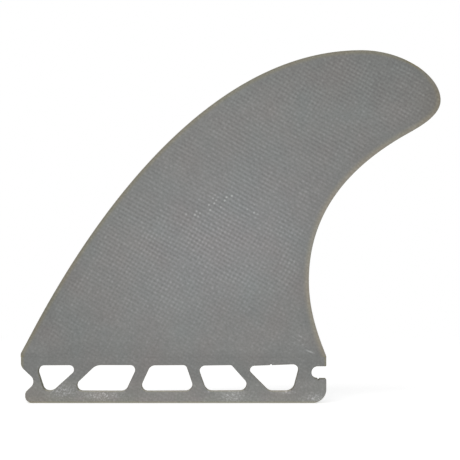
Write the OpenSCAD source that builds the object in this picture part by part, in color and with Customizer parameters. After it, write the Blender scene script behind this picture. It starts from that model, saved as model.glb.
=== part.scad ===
// Raked centre fin of solid glass laminate on one long box tab.
// X runs along the board towards the tail, Y across it, and Z up the blade.
// The origin is the middle of the tab's lower face.

/* [Blade outline] */
// Height of the blade above its foot
blade_h = 116.45; // [100:0.05:130]
// Height of the land, the upright part of the blade's foot
land_h = 1.3; // [0.8:0.1:3]
// Slope of the leading edge above the land, in degrees
entry_angle = 63.4; // [58:0.1:72]
// How far the highest point lies behind the foot
crown_back = 13.3; // [2:0.1:22]
// How far the hindmost point lies behind the foot
tip_back = 43.5; // [34:0.1:52]
// How far the hindmost point lies under the highest one
tip_drop = 19; // [15:0.1:25]
// How far the trailing edge cuts in ahead of the foot's rear end
waist_in = 6.6; // [2:0.1:14]
// Height of the waist above the foot
waist_h = 28.8; // [20:0.1:38]

/* [Blade foil] */
// Thickness of the sanded trailing edge
edge_t = 0.9; // [0.6:0.1:1.6]
// Thickness that the foil would reach at the tip before its rim closes
tip_t = 2.6; // [1.8:0.1:4]
// Height over which the foil fills out into the land
flare_h = 11; // [6:0.5:20]

/* [Tab] */
// Length of the tab's lower face
tab_len = 114.1; // [110:0.1:122]
// Depth of the tab below the blade
tab_depth = 17.4; // [16.8:0.1:20]
// Thickness of the tab
tab_t = 6.9; // [5:0.1:9]
// How far the tab's front shoulder stands ahead of its toe
shoulder_fwd = 1.6; // [0.8:0.1:2.2]
// How far the blade's foot stands proud of the tab, all round
foot_lip = 0.1; // [0.1:0.05:0.5]
// Height of the rail under the windows
rail_h = 4.4; // [3:0.1:6]
// Height of the web between the windows and the blade
web_h = 3.2; // [2.4:0.1:4.5]
// Rounding of the windows' corners, of which each corner takes its own multiple
window_r = 2; // [1:0.05:2.2]
// Rounding of the rear lower corner
heel_r = 5.1; // [2:0.1:6.5]
// Rounding of the front lower corner
toe_r = 2.5; // [1:0.1:3]

/* [Fixing points] */
// Width of the slot that drops over the cross pin
slot_w = 4.7; // [4:0.1:5.2]
// Depth of the slot from the tab's rear end
slot_len = 5.6; // [4.4:0.1:7]
// Height of the slot's axis above the tab's lower face
slot_z = 11.5; // [10.5:0.1:12.5]
// Depth of the notch under the front screw
notch_d = 4.7; // [3.4:0.1:5]
// Height of the notch's root above the tab's lower face
notch_z = 8.1; // [7.7:0.1:8.6]
// Rounding of the notch's root
notch_r = 2.7; // [2:0.1:3.2]

/* [Hidden] */

// Cross sections from the foot to the tip, and points along each side of one
RIBS = 54;
CHORD_POINTS = 30;
// Straight pieces in each curve of the outline
CURVE_STEPS = 40;
// Sides of a full rounding
ROUND_STEPS = 48;

// The foot is the tab's outline with the lip all round
tab_front = -tab_len / 2 - shoulder_fwd;
tab_rear = tab_len / 2;
foot_front = tab_front - foot_lip;
foot_rear = tab_rear + foot_lip;
foot_t = tab_t + 2 * foot_lip;
foot_r = 3 * foot_lip;

// Nodes of the outline
lead_root = [foot_front, tab_depth];
lead_start = lead_root + [0, land_h];
crown = [foot_rear + crown_back, tab_depth + blade_h];
tip = [foot_rear + tip_back, crown.y - tip_drop];
waist = [foot_rear - waist_in, tab_depth + waist_h];
trail_root = [foot_rear, tab_depth];
// The trailing edge turns from hollow to round just under the tip
turn_in = 14.9;
turn_drop = 14.1;
turn = tip - [turn_in, turn_drop];
turn_angle = 30.5;
trail_angle = 110.4;

// Lengths of the curves' handles
lead_pull = 52.4;
crown_pull_front = 60.1;
crown_pull_rear = 16.4;
tip_pull_up = 9.1;
tip_pull_down = 6.6;
turn_pull_up = 5.9;
turn_pull_down = 25.6;
waist_pull_up = 24.2;
waist_pull_down = 12.5;
root_pull = 6.5;

// Share of the nose curve that belongs to the leading edge
NOSE_SPLIT = 0.5;
// The last section stands this share of the outline short of the tip's apex
APEX_GAP = 0.006;

// Windows of the tab from front to rear, with the corners of each in the order front top, rear top,
// rear foot, front foot. A corner has its place along the tab, as a percentage of the tab's length
// from its middle, its height above the line of the web or the rail, and its multiple of window_r.
WINDOWS = [
    [[-46.5, 0, 1.2], [-31.4, 0.1, 0.85], [-40.9, 0.1, 1.5], [-43.7, 0.1, 1.2]],
    [[-26.5, 0.1, 2.4], [-12.6, 0.1, 0.9], [-16.7, -0.1, 1.4], [-35.6, 0, 1.05]],
    [[-8.4, 0, 1.45], [3.4, 0.1, 0.75], [6.4, 0, 1.3], [-12.4, -0.1, 1.1]],
    [[7.1, -0.1, 1.1], [18.5, 0.1, 0.5], [26.2, 0.1, 1.25], [10.2, 0, 1.55]],
    [[22.7, -0.3, 0.85], [41.3, 0.5, 1.05], [38.9, 0, 1.7], [31, 0, 1.8]]
];
// Slope of the notch's flanks, its lower lobe's and upper shoulder's roundings
NOTCH_HALF_ANGLE = 43.5;
LOBE_R = 1.9;
SHOULDER_R = 3.1;
// A chipped spot in the slot's lower lip: its distance from the slot's closed end and its radius
CHIP_X = 2.6;
CHIP_R = 0.5;
// A nick in the top of the last window: its share of the way along that edge and its radius
NICK_SHARE = 0.48;
NICK_R = 0.4;
// The tab's plug reaches up through this share of the land
PLUG_SHARE = 0.8;
// How far a cut runs past the faces that it opens
OVERRUN = 1;

// Point at t from 0 to 1 on a cubic curve with four control points
function cubic(p, t) = pow(1 - t, 3) * p[0] + 3 * pow(1 - t, 2) * t * p[1]
    + 3 * (1 - t) * pow(t, 2) * p[2] + pow(t, 3) * p[3];
// Points of a cubic curve from t = a up to, but not including, t = b
function stretch(p, a = 0, b = 1) =
    [for (i = [0 : CURVE_STEPS - 1]) cubic(p, a + (b - a) * i / CURVE_STEPS)];
// Vector of a given length and direction
function ray(length, angle) = length * [cos(angle), sin(angle)];

nose_curve = [crown, crown + [crown_pull_rear, 0], tip + [0, tip_pull_up], tip];
apex = cubic(nose_curve, NOSE_SPLIT);

lead_curve = [lead_start, lead_start + ray(lead_pull, entry_angle), crown - [crown_pull_front, 0], crown];
leading_edge = concat([lead_root], stretch(lead_curve), stretch(nose_curve, 0, NOSE_SPLIT), [apex]);

root_curve = [trail_root, trail_root + ray(root_pull, trail_angle), waist - [0, waist_pull_down], waist];
hollow_curve = [waist, waist + [0, waist_pull_up], turn - ray(turn_pull_down, turn_angle), turn];
round_curve = [turn, turn + ray(turn_pull_up, turn_angle), tip - [0, tip_pull_down], tip];
trailing_edge = concat(stretch(root_curve), stretch(hollow_curve), stretch(round_curve),
    stretch(nose_curve, 1, NOSE_SPLIT), [apex]);

// Length of a line of points up to each of its points
function run_lengths(p) = [for (i = 0, d = 0; i < len(p);
    d = d + (i + 1 < len(p) ? norm(p[i + 1] - p[i]) : 0), i = i + 1) d];
// Tables from the share of an edge's length to X and to Z
function x_table(p) = let (d = run_lengths(p)) [for (i = [0 : len(p) - 1]) [d[i] / d[len(d) - 1], p[i].x]];
function z_table(p) = let (d = run_lengths(p)) [for (i = [0 : len(p) - 1]) [d[i] / d[len(d) - 1], p[i].y]];
lead_x = x_table(leading_edge);
lead_z = z_table(leading_edge);
trail_x = x_table(trailing_edge);
trail_z = z_table(trailing_edge);

// Places of the sections along the edges, closer together at the foot and at the tip
function station(i) = let (t = i / RIBS)
    (1 - APEX_GAP) * (0.55 * t + 0.45 * (1 - cos(180 * t)) / 2);
// Places along a chord, closer together at both edges
function along(j) = (1 - cos(180 * j / CHORD_POINTS)) / 2;

// Half thickness of the classic symmetric four-digit foil, as a share of its full thickness
function foil(u) = 5 * (0.2969 * sqrt(u) - 0.1260 * u - 0.3516 * pow(u, 2)
    + 0.2843 * pow(u, 3) - 0.1015 * pow(u, 4));
// Full thickness of the foil at a station: a taper to the tip that closes in a quarter ellipse
function foil_t(s) = (foot_t + (tip_t - foot_t) * pow(s, 0.9)) * sqrt(1 - pow(s, 8));
// Half thickness of the foot's plate, rounded at both of its ends, x from the nearer end
function plate(x) = x >= foot_r ? foot_t / 2
    : foot_t / 2 - foot_r + sqrt(pow(foot_r, 2) - pow(foot_r - x, 2));
// Half thickness at share u of the chord at station s, at a height above the foot: the plate of the
// land, which the flare blends into the foil
function half_t(s, u, chord, height) = let (
        fill = pow(max(0, 1 - max(0, height - land_h) / flare_h), 2),
        rim = edge_t / 2 * (0.4 + 0.6 * u),
        section = rim + max(0, foil_t(s) - edge_t) * foil(u),
        slab = plate(min(u, 1 - u) * chord))
    fill * slab + (1 - fill) * section;

// One section: back along one face from the leading to the trailing edge, and forward along the other
function rib(s) = let (
        a = [lookup(s, lead_x), lookup(s, lead_z)],
        b = [lookup(s, trail_x), lookup(s, trail_z)],
        chord = norm(b - a),
        side = [for (j = [0 : CHORD_POINTS]) let (u = along(j), p = a + u * (b - a))
            [p.x, half_t(s, u, chord, p.y - tab_depth), p.y]])
    concat(side, [for (j = [CHORD_POINTS : -1 : 0]) [side[j].x, -side[j].y, side[j].z]]);

// Outline with each corner of [x, z, rounding] cut to an arc
function rounded(corners) = let (n = len(corners)) [
    for (i = [0 : n - 1])
        let (c = corners[i], p = [c.x, c.y], r = c[2],
            prev = corners[(i + n - 1) % n], next = corners[(i + 1) % n],
            u = ([prev.x, prev.y] - p) / norm([prev.x, prev.y] - p),
            v = ([next.x, next.y] - p) / norm([next.x, next.y] - p),
            half = acos(u * v) / 2,
            centre = p + (u + v) / norm(u + v) * r / sin(half),
            start = p + u * r / tan(half) - centre,
            turn_left = u.x * v.y - u.y * v.x < 0 ? 1 : -1,
            sweep = 180 - 2 * half,
            steps = r > 0 ? max(2, ceil(ROUND_STEPS * sweep / 360)) : 0)
        for (k = [0 : steps])
            let (q = steps > 0 ? k * sweep / steps * turn_left : 0)
            r > 0 ? centre + [start.x * cos(q) - start.y * sin(q), start.x * sin(q) + start.y * cos(q)]
                : p];

// The foiled blade, a loft through its sections
module blade() {
    ring = 2 * (CHORD_POINTS + 1);
    points = [for (i = [0 : RIBS]) each rib(station(i))];
    skin = [for (i = [0 : RIBS - 1], j = [0 : ring - 1]) let (
            k = (j + 1) % ring, low = i * ring, high = low + ring)
        each [[low + k, high + k, high + j], [low + k, high + j, low + j]]];
    foot = [[for (j = [ring - 1 : -1 : 0]) j]];
    end = [[for (j = [0 : ring - 1]) RIBS * ring + j]];
    polyhedron(points = points, faces = concat(skin, foot, end), convexity = 6);
}

// Stands an outline in the plane of the blade, centred on its thickness
module upright(thickness) {
    rotate([90, 0, 0]) linear_extrude(height = thickness, center = true) children();
}

// Side view of the tab, with its notch and with the plug that roots it in the blade
module tab_outline() {
    toe = tab_front + shoulder_fwd;
    apex_x = tab_front + notch_d + notch_r * (1 / sin(NOTCH_HALF_ANGLE) - 1);
    slope = tan(NOTCH_HALF_ANGLE);
    seam = tab_depth + foot_lip / 2;
    plug_h = PLUG_SHARE * land_h;
    polygon(rounded([
        [toe, 0, toe_r],
        [tab_rear, 0, heel_r],
        [tab_rear, seam, 0],
        [tab_rear - 2 * plug_h, tab_depth + plug_h, 0],
        [tab_front + 2 * plug_h, tab_depth + plug_h, 0],
        [tab_front, seam, 0],
        [tab_front, notch_z + (apex_x - tab_front) * slope, SHOULDER_R],
        [apex_x, notch_z, notch_r],
        [toe, notch_z - (apex_x - toe) * slope, LOBE_R]
    ]));
}

// Sharp corners of a window, each as [x, z, rounding]
function corners(window) = let (levels = [tab_depth - web_h, tab_depth - web_h, rail_h, rail_h])
    [for (i = [0 : 3]) [window[i].x * tab_len / 100, levels[i] + window[i].y, window[i].z * window_r]];

// The windows between the tab's struts, with the nick in the last one's top
module windows() {
    through = tab_t + 2 * OVERRUN;
    for (window = WINDOWS) upright(through) polygon(rounded(corners(window)));
    last = corners(WINDOWS[4]);
    nick = last[0] + NICK_SHARE * (last[1] - last[0]);
    translate([nick.x, 0, nick.y])
        rotate([90, 0, 0]) cylinder(h = through, r = NICK_R, center = true, $fn = 16);
}

// The round-ended slot at the tab's rear, with the chip in its lower lip
module pin_slot() {
    end_x = tab_rear - slot_len + slot_w / 2;
    through = tab_t + 2 * OVERRUN;
    translate([end_x, 0, slot_z])
        rotate([90, 0, 0]) cylinder(h = through, d = slot_w, center = true, $fn = 64);
    translate([end_x, -through / 2, slot_z - slot_w / 2]) cube([slot_len + OVERRUN, through, slot_w]);
    translate([tab_rear - slot_len + CHIP_X, 0, slot_z - slot_w / 2])
        rotate([90, 0, 0]) cylinder(h = through, r = CHIP_R, center = true, $fn = 24);
}

module fin() {
    color([0.53, 0.53, 0.52]) union() {
        blade();
        difference() {
            upright(tab_t) tab_outline();
            windows();
            pin_slot();
        }
    }
}

fin();
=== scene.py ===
"""Raked surfboard fin of grey glass laminate: the foiled blade and the windowed tab as one skin."""

import functools
import math

import bpy
import numpy as np
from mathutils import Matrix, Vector
from mathutils.geometry import delaunay_2d_cdt


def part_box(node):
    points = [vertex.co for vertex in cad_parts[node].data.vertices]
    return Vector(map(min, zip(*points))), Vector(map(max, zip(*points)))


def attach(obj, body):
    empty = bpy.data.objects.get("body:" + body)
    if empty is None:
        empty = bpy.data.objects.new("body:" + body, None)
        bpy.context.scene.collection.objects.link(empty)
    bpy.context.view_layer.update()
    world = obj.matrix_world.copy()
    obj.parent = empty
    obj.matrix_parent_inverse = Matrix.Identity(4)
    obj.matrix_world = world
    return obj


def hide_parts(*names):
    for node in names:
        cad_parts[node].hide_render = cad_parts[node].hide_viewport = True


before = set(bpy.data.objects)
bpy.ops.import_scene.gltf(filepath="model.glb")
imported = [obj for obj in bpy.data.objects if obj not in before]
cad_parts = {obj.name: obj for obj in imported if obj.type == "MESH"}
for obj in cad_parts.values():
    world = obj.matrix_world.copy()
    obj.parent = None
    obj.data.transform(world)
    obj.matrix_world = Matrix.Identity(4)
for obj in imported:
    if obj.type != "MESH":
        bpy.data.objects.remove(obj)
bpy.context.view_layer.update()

# The frame gives the fin's overall sizes. Lengths below are in millimetres.
MM = 0.001
low, high = [np.array(corner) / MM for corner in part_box("fin")]

# Tab: the sizes that its box and its two fixings set
TAB_DEPTH = 17.4
TAB_LENGTH = 114.1
SHOULDER_FORWARD = 1.6
TAB_FRONT = -TAB_LENGTH / 2 - SHOULDER_FORWARD
TAB_REAR = TAB_LENGTH / 2
TAB_TOE = -TAB_LENGTH / 2
FOOT_LIP = TAB_FRONT - low[0]
FOOT_HALF = high[1]
TAB_HALF = FOOT_HALF - FOOT_LIP
RAIL_HEIGHT = 4.4
WEB_HEIGHT = 3.2
HEEL_ROUND = 5.1
TOE_ROUND = 2.5
SLOT_WIDTH = 4.7
SLOT_LENGTH = 5.6
SLOT_HEIGHT = 11.5
NOTCH_DEPTH = 4.7
NOTCH_HEIGHT = 8.1
NOTCH_ROUND = 2.7
NOTCH_HALF_ANGLE = math.radians(43.5)
LOBE_ROUND = 1.9
SHOULDER_ROUND = 3.1
CHIP_PLACE = 2.6
CHIP_ROUND = 0.5
NICK_SHARE = 0.48
NICK_ROUND = 0.4

# Windows from front to rear, with the corners of each in the order front top, rear top, rear foot,
# front foot: the place along the tab as a percentage of its length, the height above the line of
# the web or the rail, and the rounding
WINDOWS = (
    ((-46.5, 0, 2.4), (-31.4, 0.1, 1.7), (-40.9, 0.1, 3), (-43.7, 0.1, 2.4)),
    ((-26.5, 0.1, 4.8), (-12.6, 0.1, 1.8), (-16.7, -0.1, 2.8), (-35.6, 0, 2.1)),
    ((-8.4, 0, 2.9), (3.4, 0.1, 1.5), (6.4, 0, 2.6), (-12.4, -0.1, 2.2)),
    ((7.1, -0.1, 2.2), (18.5, 0.1, 1), (26.2, 0.1, 2.5), (10.2, 0, 3.1)),
    ((22.7, -0.3, 1.7), (41.3, 0.5, 2.1), (38.9, 0, 3.4), (31, 0, 3.6)),
)

# Blade: nodes and handles of its outline
FOOT_FRONT = low[0]
FOOT_REAR = TAB_REAR + FOOT_LIP
LAND = 1.3
CROWN = np.array([FOOT_REAR + 13.3, high[2]])
TIP = np.array([high[0], CROWN[1] - 19])
WAIST = np.array([FOOT_REAR - 6.6, TAB_DEPTH + 28.8])
TURN = TIP - np.array([14.9, 14.1])
LEAD_ROOT = np.array([FOOT_FRONT, TAB_DEPTH])
LEAD_START = LEAD_ROOT + (0, LAND)
TRAIL_ROOT = np.array([FOOT_REAR, TAB_DEPTH])
ENTRY_ANGLE = 63.4
TURN_ANGLE = 30.5
TRAIL_ANGLE = 110.4

# Blade: its foil
EDGE_THICKNESS = 0.9
TIP_THICKNESS = 2.6
FLARE_HEIGHT = 11.0
ARRIS = 0.15
NOSE_CAP = 0.8

# How finely the skin is laid out
STATIONS = 230
CHORD_STEPS = 88
ARRIS_STEPS = 4
FLAT_STEPS = 4
ROUND_STEPS = 96

# Camera: its distance, the point of the fin that it looks at and the width that it takes in
CAMERA_AWAY = 1050.0
AIM = (20.56, 65.49)
VIEW_WIDTH = 174.8
SENSOR = 36.0


# Laminate: its grey in levels of 255, the pitch of the cloth and how steeply its threads fall
BASE = (125.0, 125.4, 123.3)
WEAVE_PITCH = 1.49
WEAVE_FALL = 29.0
# Frayed glass along the rail, each at x, z with its length, width and fall in degrees
FRAYED = (
    (-28, 2.7, 6.5, 1.7, 0), (-42.5, 4.6, 4.2, 2.2, 0), (21.5, 2.6, 4.5, 1.9, 0), (53, 2, 3.5, 1.3, 0),
    (42.5, 4, 2.5, 0.5, 0), (12.6, 4.3, 0.6, 0.3, 0), (15.2, 4.3, 0.6, 0.3, 0), (23.5, 4.2, 1.2, 0.3, 0),
)
# Scuffs, the first of them a painted highlight, each at x, z with its length, width, fall in degrees and strength
SCUFFS_AND_GLINT = (
    (50.9, 19.4, 1.5, 0.28, 22, 0.9), (48.2, 22.0, 0.5, 0.25, 0, 0.5), (47.2, 25.2, 0.7, 0.2, 25, 0.6),
    (46.0, 24.0, 1.6, 0.14, 30, 0.35), (49.5, 21.2, 1.4, 0.12, 30, 0.35), (44.6, 22.6, 1.2, 0.12, 28, 0.3),
)


def lift(points):
    """Millimetres to metres."""
    return np.asarray(points, dtype=float) * MM


def ray(length, degrees):
    """Vector of that length and direction in the plane of the blade."""
    return length * np.array([math.cos(math.radians(degrees)), math.sin(math.radians(degrees))])


def cubic(a, b, c, d, start=0.0, end=1.0, steps=400):
    """Points of a Bezier cubic: the sum of its four control points, each times its Bernstein weight."""
    t = np.linspace(start, end, steps)[:, None]
    return (1 - t) ** 3 * a + 3 * (1 - t) ** 2 * t * b + 3 * (1 - t) * t**2 * c + t**3 * d


def blade_edges():
    """The leading and the trailing edge, each from the foot to the apex half way round the nose."""
    nose = (CROWN, CROWN + (16.4, 0), TIP + (0, 9.1), TIP)
    leading = np.vstack([
        LEAD_ROOT,
        cubic(LEAD_START, LEAD_START + ray(52.4, ENTRY_ANGLE), CROWN - (60.1, 0), CROWN),
        cubic(*nose, 0, 0.5),
    ])
    trailing = np.vstack([
        cubic(TRAIL_ROOT, TRAIL_ROOT + ray(6.5, TRAIL_ANGLE), WAIST - (0, 12.5), WAIST),
        cubic(WAIST, WAIST + (0, 24.2), TURN - ray(25.6, TURN_ANGLE), TURN),
        cubic(TURN, TURN + ray(5.9, TURN_ANGLE), TIP - (0, 6.6), TIP),
        cubic(*nose, 1, 0.5),
    ])
    return leading, trailing


def by_length(line, shares):
    """Points of a line at shares of its own length, by linear interpolation on its running length."""
    run = np.r_[0, np.cumsum(np.hypot(*np.diff(line, axis=0).T))]
    return np.column_stack([np.interp(shares * run[-1], run, line[:, i]) for i in (0, 1)])


def foil(u):
    """Half thickness of the classic symmetric four-digit foil, for a full thickness of one."""
    return 5 * (0.2969 * np.sqrt(u) - 0.1260 * u - 0.3516 * u**2 + 0.2843 * u**3 - 0.1015 * u**4)


def cap(half, radius):
    """Square end of a plate with both arrises rounded, from its near face to its far one: a quarter
    circle, straight steps and a quarter circle. Returns distance in from the end, and Y."""
    turn = np.linspace(math.pi / 2, 0, ARRIS_STEPS + 1)
    arc_in, arc_y = radius * (1 - np.cos(turn)), half - radius + radius * np.sin(turn)
    flat = np.linspace(-1, 1, FLAT_STEPS + 1)[1:-1, None].T * (half - radius)
    zero = np.zeros_like(flat)
    return np.concatenate([arc_in, zero, arc_in[:, ::-1]], 1), np.concatenate([-arc_y, flat, arc_y[:, ::-1]], 1)


def blade_sections():
    """Every section of the blade as (station, point) arrays of X, Y, Z, and the distance in from the
    leading and from the trailing edge, square to that edge. A point is the leading edge's point plus q along the chord,
    with Y the foil's half thickness at q, blended into a plate's over the flare above the land."""
    leading, trailing = blade_edges()
    t = np.linspace(0, 1, STATIONS)
    share = 0.998 * (0.55 * t + 0.45 * (1 - np.cos(math.pi * t)) / 2)
    a, b = by_length(leading, share), by_length(trailing, share)
    chord = np.hypot(*(b - a).T)[:, None]
    along = (b - a) / chord
    s = share[:, None]
    full = (2 * FOOT_HALF + (TIP_THICKNESS - 2 * FOOT_HALF) * s**0.9) * np.sqrt(1 - s**8)

    def half(q):
        u = q / chord
        rim = EDGE_THICKNESS / 2 * (0.4 + 0.6 * u) * np.sqrt(np.clip(q / NOSE_CAP, 0, 1))
        return rim + np.maximum(full - EDGE_THICKNESS, 0) * foil(u)

    w = (1 - np.cos(math.pi * np.arange(CHORD_STEPS + 1) / CHORD_STEPS))[None, :] / 2
    one = np.ones_like(chord)
    nose, tail = np.minimum(NOSE_CAP, 0.3 * chord), np.minimum(ARRIS, 0.2 * chord)
    count = 2 * ARRIS_STEPS + FLAT_STEPS + 1
    tau = np.linspace(-1, 1, count)[None, :]
    nose_q = nose * tau**2
    side_q = nose + (chord - nose - tail) * w
    tail_h = half(chord - tail)
    tail_in, tail_y = cap(tail_h, np.minimum(tail, 0.8 * tail_h))
    foil_q = np.concatenate([nose_q, side_q[:, 1:-1], chord - tail_in[:, ::-1], side_q[:, -2:0:-1]], 1)
    foil_y = np.concatenate([np.sign(tau) * half(nose_q), half(side_q)[:, 1:-1], tail_y[:, ::-1],
                             -half(side_q)[:, -2:0:-1]], 1)
    end_in, end_y = cap(FOOT_HALF * one, ARRIS * one)
    plate_side = ARRIS + (chord - 2 * ARRIS) * w
    flat = np.full_like(plate_side, FOOT_HALF)
    plate_q = np.concatenate([end_in, plate_side[:, 1:-1], chord - end_in[:, ::-1], plate_side[:, -2:0:-1]], 1)
    plate_y = np.concatenate([end_y, flat[:, 1:-1], end_y[:, ::-1], -flat[:, -2:0:-1]], 1)

    height = a[:, 1:] + along[:, 1:] * foil_q - TAB_DEPTH
    height = np.where(height < 2 * LAND, height**2 / (4 * LAND), height - LAND)
    fill = np.clip(1 - height / FLARE_HEIGHT, 0, 1) ** 2
    fill[0] = 1
    q = fill * plate_q + (1 - fill) * foil_q
    y = fill * plate_y + (1 - fill) * foil_y
    points = np.stack([a[:, :1] + along[:, :1] * q, y, a[:, 1:] + along[:, 1:] * q], -1)
    slant_a, slant_b = [
        np.abs(along[:, 0] * t[:, 1] - along[:, 1] * t[:, 0])[:, None] / np.hypot(*t.T)[:, None]
        for t in (np.gradient(a, axis=0), np.gradient(b, axis=0))
    ]
    return points, q * slant_a, (chord - q) * slant_b


def rounded(corners):
    """Closed outline whose corners (x, z, radius) are arcs that touch both of their sides."""
    places = np.array([corner[:2] for corner in corners], dtype=float)
    points = []
    for i, (_, _, radius) in enumerate(corners):
        p = places[i]
        u, v = places[i - 1] - p, places[(i + 1) % len(corners)] - p
        u, v = u / np.hypot(*u), v / np.hypot(*v)
        if radius == 0:
            points.append(p[None])
            continue
        bend = math.acos(np.clip(u @ v, -1, 1))
        centre = p + (u + v) / np.hypot(*(u + v)) * radius / math.sin(bend / 2)
        start = p + u * radius / math.tan(bend / 2) - centre
        side = 1 if u[0] * v[1] - u[1] * v[0] < 0 else -1
        sweep = side * np.linspace(0, math.pi - bend, max(3, int(ROUND_STEPS * (math.pi - bend) / math.tau)))
        cos, sin = np.cos(sweep), np.sin(sweep)
        points.append(centre + np.column_stack([start[0] * cos - start[1] * sin, start[0] * sin + start[1] * cos]))
    return np.vstack(points)


def tab_outline():
    """The tab's side view from the rear end of its seam, round its lower face, to the front end."""
    root = TAB_FRONT + NOTCH_DEPTH + NOTCH_ROUND * (1 / math.sin(NOTCH_HALF_ANGLE) - 1)
    slope = math.tan(NOTCH_HALF_ANGLE)
    slot_end = TAB_REAR - SLOT_LENGTH
    slot_low, slot_top = SLOT_HEIGHT - SLOT_WIDTH / 2, SLOT_HEIGHT + SLOT_WIDTH / 2
    chip = slot_end + CHIP_PLACE
    closed = rounded([
        (TAB_FRONT, TAB_DEPTH, 0),
        (TAB_REAR, TAB_DEPTH, 0),
        (TAB_REAR, slot_top, 0.3),
        (slot_end, slot_top, SLOT_WIDTH / 2 - 0.01),
        (slot_end, slot_low, SLOT_WIDTH / 2 - 0.01),
        (chip - CHIP_ROUND, slot_low, 0),
        (chip - 0.4 * CHIP_ROUND, slot_low - CHIP_ROUND, 0),
        (chip + 0.5 * CHIP_ROUND, slot_low - 0.8 * CHIP_ROUND, 0),
        (chip + CHIP_ROUND, slot_low, 0),
        (TAB_REAR, slot_low, 0.5),
        (TAB_REAR, 0, HEEL_ROUND),
        (TAB_TOE, 0, TOE_ROUND),
        (TAB_TOE, NOTCH_HEIGHT - (root - TAB_TOE) * slope, LOBE_ROUND),
        (root, NOTCH_HEIGHT, NOTCH_ROUND),
        (TAB_FRONT, NOTCH_HEIGHT + (root - TAB_FRONT) * slope, SHOULDER_ROUND),
    ])
    return np.vstack([closed[1:], closed[:1]])


def window_outlines():
    """The five windows, each as a closed outline, with a nick in the top of the last one."""
    levels = (TAB_DEPTH - WEB_HEIGHT, TAB_DEPTH - WEB_HEIGHT, RAIL_HEIGHT, RAIL_HEIGHT)
    windows = [
        [(x * TAB_LENGTH / 100, level + rise, radius) for level, (x, rise, radius) in zip(levels, window)]
        for window in WINDOWS
    ]
    front, rear = np.array(windows[-1][0]), np.array(windows[-1][1])
    nick = front + NICK_SHARE * (rear - front)
    windows[-1][1:1] = [(nick[0] + dx * NICK_ROUND, nick[1] + dz * NICK_ROUND, 0)
                        for dx, dz in ((-1, 0), (-0.6, 0.8), (0.2, 1), (0.8, 0.6), (1, 0))]
    return [rounded(window) for window in windows]


def spaced(line, step):
    """The line with extra points, so that none of its sides is longer than the step."""
    pieces = [
        np.linspace(p, q, max(1, math.ceil(np.hypot(*(q - p)) / step)), endpoint=False)
        for p, q in zip(line[:-1], line[1:])
    ]
    return np.vstack([*pieces, line[-1:]])


def wall(line, closed, into):
    """A wall through the tab's thickness: each point of the line is moved into the laminate by the
    rounding of the arris, along the mitre of its two neighbours. An open line runs from the tab's rear
    end to its front end. Returns (point, step) X, Y, Z."""
    before, after = np.roll(line, 1, 0), np.roll(line, -1, 0)
    d0, d1 = line - before, after - line
    if not closed:
        d0[0], d1[-1] = d1[0], d0[-1]
    n0, n1 = [np.column_stack([-d[:, 1], d[:, 0]]) / np.hypot(*d.T)[:, None] for d in (d0, d1)]
    mitre = (n0 + n1) / np.maximum(1 + (n0 * n1).sum(1), 0.5)[:, None]
    if not closed:
        mitre[0], mitre[-1] = (-into, 0), (into, 0)
    q, y = cap(np.array([[TAB_HALF]]), np.array([[ARRIS]]))
    flat = line[:, None] + into * mitre[:, None] * q[0][None, :, None]
    return np.stack([flat[..., 0], np.broadcast_to(y, flat.shape[:2]), flat[..., 1]], -1)


def strips(grid, close_rows=False, close_columns=False):
    """Quads between neighbouring rows and columns of a grid of point numbers."""
    if close_rows:
        grid = np.vstack([grid, grid[:1]])
    if close_columns:
        grid = np.hstack([grid, grid[:, :1]])
    return np.stack([grid[:-1, :-1], grid[1:, :-1], grid[1:, 1:], grid[:-1, 1:]], -1).reshape(-1, 4)


def inside(points, loops):
    """Even-odd test: how many sides of the loops a ray towards +X from each point crosses."""
    hits = np.zeros(len(points), dtype=int)
    for loop in loops:
        a, b = loop, np.roll(loop, -1, 0)
        x, z = points[:, :1], points[:, 1:]
        spans = (a[:, 1] > z) != (b[:, 1] > z)
        rise = np.where(b[:, 1] == a[:, 1], 1, b[:, 1] - a[:, 1])
        cross = a[:, 0] + (z - a[:, 1]) / rise * (b[:, 0] - a[:, 0])
        hits += (spans & (x < cross)).sum(1)
    return hits % 2 == 1


def face_triangles(loops):
    """Triangles that fill the first loop and leave the others open, as numbers of the stacked points."""
    points = np.vstack(loops)
    sides, first = [], 0
    for loop in loops:
        ring = first + np.arange(len(loop))
        sides += np.column_stack([ring, np.roll(ring, -1)]).tolist()
        first += len(loop)
    made, _, triangles, origin, _, _ = delaunay_2d_cdt([Vector(p) for p in points], sides, [], 0, 1e-6)
    number = np.array([group[0] if group else 0 for group in origin])
    triangles = number[np.array(triangles)]
    return triangles[inside(points[triangles].mean(1), loops)]


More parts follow.
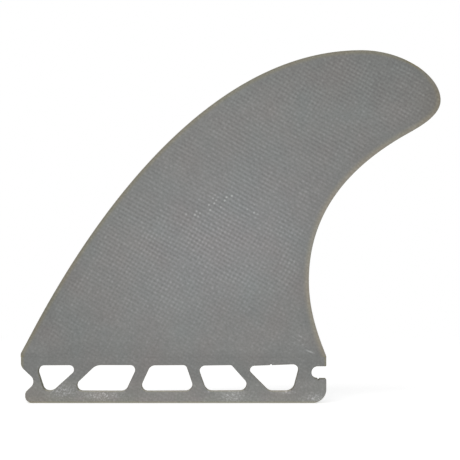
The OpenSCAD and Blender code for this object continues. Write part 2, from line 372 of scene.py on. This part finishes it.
def fin_skin():
    """The whole fin as one closed skin: the blade's sections, the ledge round the foot, the tab's outer
    wall, its windows' walls and its two faces. Returns points, faces, and three values per point: the
    distance from the leading edge, from the trailing edge, and one on a wall or nought elsewhere."""
    blade, lead, trail = blade_sections()
    stations, ring = blade.shape[:2]
    count = 2 * ARRIS_STEPS + FLAT_STEPS + 1
    side = CHORD_STEPS - 1
    numbers = np.arange(stations * ring).reshape(stations, ring)
    points = [blade.reshape(-1, 3)]
    faces = strips(numbers, close_columns=True).tolist()
    faces.append(numbers[-1].tolist())
    values = [np.column_stack([lead.ravel(), trail.ravel(), np.zeros(lead.size)])]
    total = stations * ring

    def add(new, on_wall):
        nonlocal total
        points.append(new.reshape(-1, 3))
        values.append(np.column_stack([np.full((new.size // 3, 2), 99.0), np.ravel(on_wall)]))
        total += new.size // 3
        return np.arange(total - new.size // 3, total)

    # The outer wall, and the top line of each face in step with the foot's section
    outline = spaced(tab_outline(), 1.5)
    outer = wall(outline, False, -1)
    on_arris = np.broadcast_to((np.abs(np.arange(count) - (count - 1) / 2) < (count - 1) / 2) * 1.0, outer.shape[:2])
    outer_n = add(outer, on_arris).reshape(outer.shape[:2])
    foot = blade[0]
    scale = (TAB_REAR - TAB_FRONT) / (FOOT_REAR - FOOT_FRONT)
    top_x = TAB_FRONT + (foot[:, 0] - FOOT_FRONT) * scale
    far_top = np.stack([top_x[count:count + side], np.full(side, TAB_HALF), np.full(side, TAB_DEPTH)], -1)
    near_top = far_top * (1, -1, 1)
    far_n = add(far_top, np.zeros(side))
    near_n = add(near_top, np.zeros(side))

    # The ledge joins the foot's section to the tab's own top line
    top_ring = np.concatenate([outer_n[-1], far_n, outer_n[0][::-1], near_n[::-1]])
    faces += strips(np.stack([top_ring, numbers[0]]), close_columns=True).tolist()
    faces += strips(outer_n).tolist()

    # Windows, then the two faces round them
    loops_near = [np.concatenate([outer_n[:, 0], near_n])]
    loops_far = [np.concatenate([outer_n[:, -1], far_n])]
    for line in window_outlines():
        hole = wall(spaced(np.vstack([line, line[:1]]), 1.5)[:-1], True, 1)
        hole_n = add(hole, np.broadcast_to(on_arris[:1], hole.shape[:2])).reshape(hole.shape[:2])
        faces += strips(hole_n, close_rows=True).tolist()
        loops_near.append(hole_n[:, 0])
        loops_far.append(hole_n[:, -1])
    points = np.vstack(points)
    for loops in (loops_near, loops_far):
        local = np.concatenate(loops)
        faces += local[face_triangles([points[n][:, [0, 2]] for n in loops])].tolist()
    return points, faces, np.vstack(values)


def build_fin():
    """The fin's skin as a mesh with outward faces, crisp arrises and its three values as attributes."""
    points, faces, values = fin_skin()
    mesh = bpy.data.meshes.new("fin_laminate")
    mesh.from_pydata(lift(points).tolist(), [], faces)
    for name, column in zip(("lead", "trail", "wall"), values.T):
        mesh.attributes.new(name, "FLOAT", "POINT").data.foreach_set("value", column.astype(np.float32))
    mesh.validate()
    mesh.polygons.foreach_set("use_smooth", np.ones(len(mesh.polygons), dtype=bool))
    mesh.set_sharp_from_angle(angle=math.radians(14))
    fin = bpy.data.objects.new("fin_laminate", mesh)
    bpy.context.scene.collection.objects.link(fin)
    bpy.context.view_layer.objects.active = fin
    bpy.ops.object.mode_set(mode="EDIT")
    bpy.ops.mesh.select_all(action="SELECT")
    bpy.ops.mesh.normals_make_consistent(inside=False)
    bpy.ops.object.mode_set(mode="OBJECT")
    return fin


def colour(r, g, b):
    """Linear colour of an sRGB one given from 0 to 255."""
    return tuple(((c / 255 + 0.055) / 1.055) ** 2.4 for c in (r, g, b)) + (1.0,)


def make_camera():
    data = bpy.data.cameras.new("camera")
    data.sensor_width = SENSOR
    data.lens = SENSOR * CAMERA_AWAY / VIEW_WIDTH
    data.clip_start, data.clip_end = 0.05, 20
    camera = bpy.data.objects.new("camera", data)
    camera.location = lift((AIM[0], -CAMERA_AWAY, AIM[1]))
    camera.rotation_euler = (math.pi / 2, 0, 0)
    bpy.context.scene.collection.objects.link(camera)
    bpy.context.scene.camera = camera


def make_light(name, place, aim, size, power):
    data = bpy.data.lights.new(name, "AREA")
    data.shape = "SQUARE"
    data.size = size
    data.energy = power
    light = bpy.data.objects.new(name, data)
    light.location = place
    light.rotation_euler = (Vector(aim) - Vector(place)).to_track_quat("-Z", "Y").to_euler()
    bpy.context.scene.collection.objects.link(light)


def make_world():
    """White for the camera and for reflections, and a plain pale light on the fin itself."""
    world = bpy.data.worlds.new("studio")
    bpy.context.scene.world = world
    world.use_nodes = True
    nodes, links = world.node_tree.nodes, world.node_tree.links
    nodes.clear()
    output = nodes.new("ShaderNodeOutputWorld")
    mix = nodes.new("ShaderNodeMixShader")
    lit, seen = nodes.new("ShaderNodeBackground"), nodes.new("ShaderNodeBackground")
    lit.inputs["Strength"].default_value = 0.5
    seen.inputs["Color"].default_value = (1, 1, 1, 1)
    path = nodes.new("ShaderNodeLightPath")
    either = nodes.new("ShaderNodeMath")
    either.operation = "MAXIMUM"
    both = nodes.new("ShaderNodeMath")
    both.operation = "MAXIMUM"
    links.new(path.outputs["Is Camera Ray"], either.inputs[0])
    links.new(path.outputs["Is Glossy Ray"], either.inputs[1])
    links.new(either.outputs[0], both.inputs[0])
    links.new(path.outputs["Is Transmission Ray"], both.inputs[1])
    links.new(both.outputs[0], mix.inputs[0])
    links.new(lit.outputs[0], mix.inputs[1])
    links.new(seen.outputs[0], mix.inputs[2])
    links.new(mix.outputs[0], output.inputs[0])


def make_floor():
    """A plain pale floor just under the tab. What the camera sees of it is lifted to white, and the
    fin's shadow stays."""
    mesh = bpy.data.meshes.new("floor")
    mesh.from_pydata([(-0.6, -0.6, -0.0002), (0.6, -0.6, -0.0002), (0.6, 0.6, -0.0002), (-0.6, 0.6, -0.0002)], [], [(0, 1, 2, 3)])
    floor = bpy.data.objects.new("floor", mesh)
    bpy.context.scene.collection.objects.link(floor)
    material = bpy.data.materials.new("pale_floor")
    material.use_nodes = True
    nodes, links = material.node_tree.nodes, material.node_tree.links
    nodes.clear()
    output = nodes.new("ShaderNodeOutputMaterial")
    diffuse = nodes.new("ShaderNodeBsdfDiffuse")
    diffuse.inputs["Color"].default_value = (0.8, 0.8, 0.8, 1)
    glow = nodes.new("ShaderNodeEmission")
    path = nodes.new("ShaderNodeLightPath")
    seen = nodes.new("ShaderNodeMath")
    seen.operation = "MAXIMUM"
    links.new(path.outputs["Is Camera Ray"], seen.inputs[0])
    links.new(path.outputs["Is Glossy Ray"], seen.inputs[1])
    lift_up = nodes.new("ShaderNodeMath")
    lift_up.operation = "MULTIPLY"
    lift_up.inputs[1].default_value = 0.56
    links.new(seen.outputs[0], lift_up.inputs[0])
    links.new(lift_up.outputs[0], glow.inputs["Strength"])
    both = nodes.new("ShaderNodeAddShader")
    links.new(diffuse.outputs[0], both.inputs[0])
    links.new(glow.outputs[0], both.inputs[1])
    links.new(both.outputs[0], output.inputs[0])
    mesh.materials.append(material)


class Field:
    """A value that varies over the surface. Sums, products and the like of fields add math nodes."""

    def __init__(self, socket):
        self.socket = socket

    def made(self, operation, *others):
        tree = self.socket.id_data
        node = tree.nodes.new("ShaderNodeMath")
        node.operation = operation
        for i, value in enumerate((self, *others)):
            if isinstance(value, Field):
                tree.links.new(value.socket, node.inputs[i])
            else:
                node.inputs[i].default_value = value
        return Field(node.outputs[0])

    def __add__(self, other):
        return self.made("ADD", other)

    def __sub__(self, other):
        return self.made("SUBTRACT", other)

    def __mul__(self, other):
        return self.made("MULTIPLY", other)

    def __truediv__(self, other):
        return self.made("DIVIDE", other)

    __radd__, __rmul__ = __add__, __mul__

    def flipped(self):
        return self * -1 + 1

    def ramp(self, start, end):
        """Nought at the start and one at the end, with a smooth step between them."""
        tree = self.socket.id_data
        node = tree.nodes.new("ShaderNodeMapRange")
        node.interpolation_type = "SMOOTHSTEP"
        low_end, high_end = sorted((start, end))
        node.inputs["From Min"].default_value = low_end
        node.inputs["From Max"].default_value = high_end
        node.inputs["To Min"].default_value = float(start > end)
        node.inputs["To Max"].default_value = float(start < end)
        tree.links.new(self.socket, node.inputs["Value"])
        return Field(node.outputs["Result"])


class Surface:
    """The node tree of one material, with the place on the piece in millimetres as x, y and z."""

    def __init__(self, name):
        self.material = bpy.data.materials.new(name)
        self.material.use_nodes = True
        self.tree = self.material.node_tree
        self.shader = self.tree.nodes["Principled BSDF"]
        place = self.tree.nodes.new("ShaderNodeTexCoord").outputs["Object"]
        self.x, self.y, self.z = [axis * 1000 for axis in self.parts(place)]

    def parts(self, vector):
        node = self.tree.nodes.new("ShaderNodeSeparateXYZ")
        self.tree.links.new(vector, node.inputs[0])
        return [Field(output) for output in node.outputs]

    def vector(self, *fields):
        node = self.tree.nodes.new("ShaderNodeCombineXYZ")
        for field, socket in zip(fields, node.inputs):
            self.tree.links.new(field.socket, socket)
        return node.outputs[0]

    def value(self, name):
        """One of the mesh's own values."""
        node = self.tree.nodes.new("ShaderNodeAttribute")
        node.attribute_name = name
        return Field(node.outputs["Fac"])

    def noise(self, size, detail=2.0, at=0.0, along=None):
        """Noise of that size in millimetres, about one half. A second pair of axes stretches it."""
        a, b = along or (self.x, self.z)
        node = self.tree.nodes.new("ShaderNodeTexNoise")
        node.inputs["Scale"].default_value = 1 / size
        node.inputs["Detail"].default_value = detail
        self.tree.links.new(self.vector(a + at, self.y, b - at), node.inputs["Vector"])
        return Field(node.outputs[0])

    def turned(self, degrees):
        """Axes along and across a direction that falls that many degrees towards the tail."""
        cos, sin = math.cos(math.radians(degrees)), math.sin(math.radians(degrees))
        return self.x * cos - self.z * sin, self.x * sin + self.z * cos

    def random(self, a, b):
        """A number from nought to one for each whole pair of a and b."""
        node = self.tree.nodes.new("ShaderNodeTexWhiteNoise")
        node.noise_dimensions = "2D"
        self.tree.links.new(self.vector(a, b), node.inputs["Vector"])
        return Field(node.outputs["Value"])

    def shift(self, tone, weight, levels):
        """The tone, moved by the weight times so many levels of red, green and blue."""
        node = self.tree.nodes.new("ShaderNodeVectorMath")
        node.operation = "MULTIPLY_ADD"
        self.tree.links.new(weight.socket, node.inputs[0])
        node.inputs[1].default_value = [level / 255 for level in levels]
        if isinstance(tone, tuple):
            node.inputs[2].default_value = [level / 255 for level in tone]
        else:
            self.tree.links.new(tone, node.inputs[2])
        return node.outputs[0]


def cloth(surface):
    """Plain weave: squared sines across the rows of thread, weaker ones at each crossing thread, and the
    weakest along one diagonal, on which every second crossing lies on top. Noise bends the rows and
    hides the crossings in places. Returns the height, from nought to about one, the tops of the crossings
    alone, and the number of the crossing along and across."""
    along, across = surface.turned(WEAVE_FALL)
    u = along / WEAVE_PITCH + surface.noise(18, 1, 40) * 1.0
    v = across / WEAVE_PITCH + surface.noise(22, 1, -60) * 0.9
    rows, crossings, diagonal = [((field * math.pi).made("SINE")).made("POWER", 2.0) for field in (v, u, (u + v) / 2)]
    plain = surface.z.ramp(85, 50) * 0.7 + surface.z.ramp(102, 112) * 0.45 + 0.3
    shown = (surface.noise(9, 2, 150).ramp(0.2, 0.8) * 0.35 + 0.25) * plain
    height = rows * 0.7 + crossings * shown + diagonal * 0.14
    return height, rows * crossings, u.made("FLOOR"), v.made("FLOOR")


def fleck(surface, x, z, length, width, fall):
    """A soft pale mark: a bell curve along and across its own direction."""
    cos, sin = math.cos(math.radians(fall)), math.sin(math.radians(fall))
    a, b = surface.x + -x, surface.z + -z
    along = (a * cos + b * -sin) / length
    across = (a * sin + b * cos) / width
    return ((along * along + across * across) * -1).made("EXPONENT")


def strongest(fields):
    """The greatest of several fields at each place."""
    return functools.reduce(lambda a, b: a.made("MAXIMUM", b), fields)


def laminate():
    """Grey laminate: woven cloth under clear resin, mottled, with the bare olive of the resin where
    the edges and the tab's walls are sanded and sawn through it. Light, shade and glints are painted into its colour
    too."""
    surface = Surface("grey_laminate")
    lead, trail, wall = [surface.value(name) for name in ("lead", "trail", "wall")]
    x, z = surface.x, surface.z
    on_blade = z.ramp(12, 62) * 0.7 + 0.38
    inner = lead.ramp(1.5, 5) * trail.ramp(2.0, 6)
    # Painted light: a broad bell over the middle of the blade, where it is lit most
    painted_light_middle = fleck(surface, 18, 62, 44, 30, -35)
    height, tops, column, row = cloth(surface)

    # Cloth: plainest on the open blade, fading at the foot and along the edges
    patches = surface.noise(11, 2, 5).ramp(0.2, 0.7) * 0.6 + 0.4
    seen = on_blade * (inner * 0.6 + 0.4) * patches
    tone = surface.shift(BASE, (height + -0.55) * seen * (painted_light_middle * 0.4 + 0.85), (20, 20, 20))

    # Painted light: the open middle of the blade is painted paler and colder, as if lit most. Clouds and a fine grain
    # break up the grey.
    tone = surface.shift(tone, painted_light_middle, (11, 11, 13))
    # Painted shade: darker along both edges of the blade and towards its foot
    tone = surface.shift(tone, lead.ramp(9, 0) + trail.ramp(8, 0) * 0.7 + z.ramp(28, 19) * 0.5, (-6, -6, -6))
    # Painted shade: darker towards the tip and on the lower front of the blade
    tone = surface.shift(tone, z.ramp(104, 132) + fleck(surface, -44, 29, 15, 15, 0) * 0.7, (-5, -5, -5))
    # Painted shade below the crown, towards the tip
    tone = surface.shift(tone, fleck(surface, 82, 121, 22, 9, 0), (-3, -3, -3))
    # Painted shade at the front and rear corners of the blade's foot, just above the tab
    foot_corner_shade = strongest([fleck(surface, 50, 20, 15, 5, 0), fleck(surface, -47, 20, 14, 5, 0) * 0.5])
    tone = surface.shift(tone, foot_corner_shade * z.ramp(17.2, 18.2), (-6, -6, -6))
    # Painted light: a faint pale band along the seam between blade and tab, evening out the shading step there
    tone = surface.shift(tone, z.ramp(15.6, 16.9) * z.ramp(18.4, 17.6), (2.5, 2.5, 2.5))
    tone = surface.shift(tone, surface.noise(17, 3, 120) + -0.5, (-5, 5, 6))
    tone = surface.shift(tone, surface.noise(6, 3, -80) + -0.5, (9, 9, 8))
    tone = surface.shift(tone, surface.noise(0.7, 2, 33) + -0.5, (31, 31, 31))

    # Crossings of random paleness, and painted glints: highlights painted on single crossings, in a band across the
    # middle of the blade and a few anywhere
    glint_band = fleck(surface, 14.2, 75.2, 11, 2.2, -28).made("MAXIMUM", fleck(surface, 31, 73, 4.5, 2, 0) * 0.8)
    chance = surface.random(column, row)
    tone = surface.shift(tone, (chance + -0.5) * tops, (13, 13, 13))
    # Painted highlights on the crossings that the glint band or chance picks
    lit = (chance + glint_band * 0.6).ramp(0.985, 1.2) * tops.ramp(0.25, 0.8)
    tone = surface.shift(tone, lit * (glint_band * 0.5 + 0.5), (34, 35, 34))

    # Sanded edges: tan resin behind and olive in front, and painted shade on the nose of the tip
    sanded = trail.ramp(2.7, 0.5) * (surface.noise(9, 1, 7) * 0.5 + 0.75)
    tone = surface.shift(tone, sanded * z.ramp(117, 107), (18, 13, 3))
    tone = surface.shift(tone, sanded * z.ramp(107, 117), (10, 6, -3))
    # Painted shade: darker on the nose of the tip
    tone = surface.shift(tone, fleck(surface, 100, 113, 8, 12, 0), (-5, -7, -9))
    tone = surface.shift(tone, lead.ramp(2.3, 0.4), (6, 2, -10))
    tab_ends = (x.ramp(-57.2, -58.2) + x.ramp(55.8, 56.8)) * z.ramp(12, 14) * z.ramp(18.4, 17.4)
    tone = surface.shift(tone, tab_ends, (6, 3, -8))
    tone = surface.shift(tone, z.ramp(0.9, 0.3), (8, 6, -4))

    # Tab: paler towards its lower end and at the windows' lower rims, warm patches and frayed glass on the rail,
    # the olive of its sawn walls, and painted light on its walls low on the tab, where the windows' lower walls face up
    rail = (z.ramp(10, 7) * 0.55 + z.ramp(3.4, 1.4) * 0.45) * (wall * -1 + 1)
    rims = [
        fleck(surface, (a[0] + b[0]) / 200 * TAB_LENGTH, RAIL_HEIGHT, (a[0] - b[0]) / 250 * TAB_LENGTH, 2.2, 0)
        for _, _, a, b in WINDOWS
    ]
    tone = surface.shift(tone, strongest(rims) * z.ramp(4.7, 4.3), (10, 9, 8))
    tone = surface.shift(tone, rail, (15, 13, 9.5))
    tone = surface.shift(tone, rail * x.ramp(-50, 50), (3, 5, 7))
    tone = surface.shift(tone, rail * surface.noise(7, 2, 60).ramp(0.45, 0.65), (2, 0, 2))
    fibres = surface.noise(0.7, 2, 11).ramp(0.45, 0.7)
    frayed = [fleck(surface, *place) for place in FRAYED]
    tone = surface.shift(tone, (fibres * 4.5 + 0.6) * strongest(frayed), (12, 12, 13))
    tone = surface.shift(tone, (fibres + -0.4) * rail, (6, 6, 6))
    tone = surface.shift(tone, wall, (-6, -9, -22))
    # Painted light: the sawn walls low on the tab, the windows' lower walls among them, painted lighter as if lit from
    # above
    tone = surface.shift(tone, wall * z.ramp(5.2, 4.7), (44, 43, 44))

    # Scuffs and scratches above the rear window and near the foot; the first is a painted highlight, a bright smudge
    # where the foot of the trailing edge meets the tab
    for place in SCUFFS_AND_GLINT:
        *mark, strength = place
        tone = surface.shift(tone, fleck(surface, *mark) * strength, (48, 48, 49))

    gamma = surface.tree.nodes.new("ShaderNodeGamma")
    gamma.inputs["Gamma"].default_value = 2.2
    surface.tree.links.new(tone, gamma.inputs["Color"])
    surface.tree.links.new(gamma.outputs[0], surface.shader.inputs["Base Color"])
    rough = surface.noise(5, 3, 200) * 0.16 + wall * 0.25 + 0.42
    surface.tree.links.new(rough.socket, surface.shader.inputs["Roughness"])
    surface.shader.inputs["Specular IOR Level"].default_value = 0.35
    bump = surface.tree.nodes.new("ShaderNodeBump")
    bump.inputs["Distance"].default_value = 0.00002
    bump.inputs["Strength"].default_value = 0.6
    surface.tree.links.new((height * seen).socket, bump.inputs["Height"])
    surface.tree.links.new(bump.outputs[0], surface.shader.inputs["Normal"])
    return surface.material


make_camera()
make_world()
make_floor()
make_light("key", (-0.5, -1.6, 1.3), (0.02, 0, 0.07), 1.4, 19)
make_light("fill", (1.3, -1.2, 0.6), (0.02, 0, 0.07), 1.2, 7)

fin = build_fin()
fin.data.materials.append(laminate())
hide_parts("fin")
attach(fin, "root")

view = bpy.context.scene.view_settings
view.view_transform = "Standard"
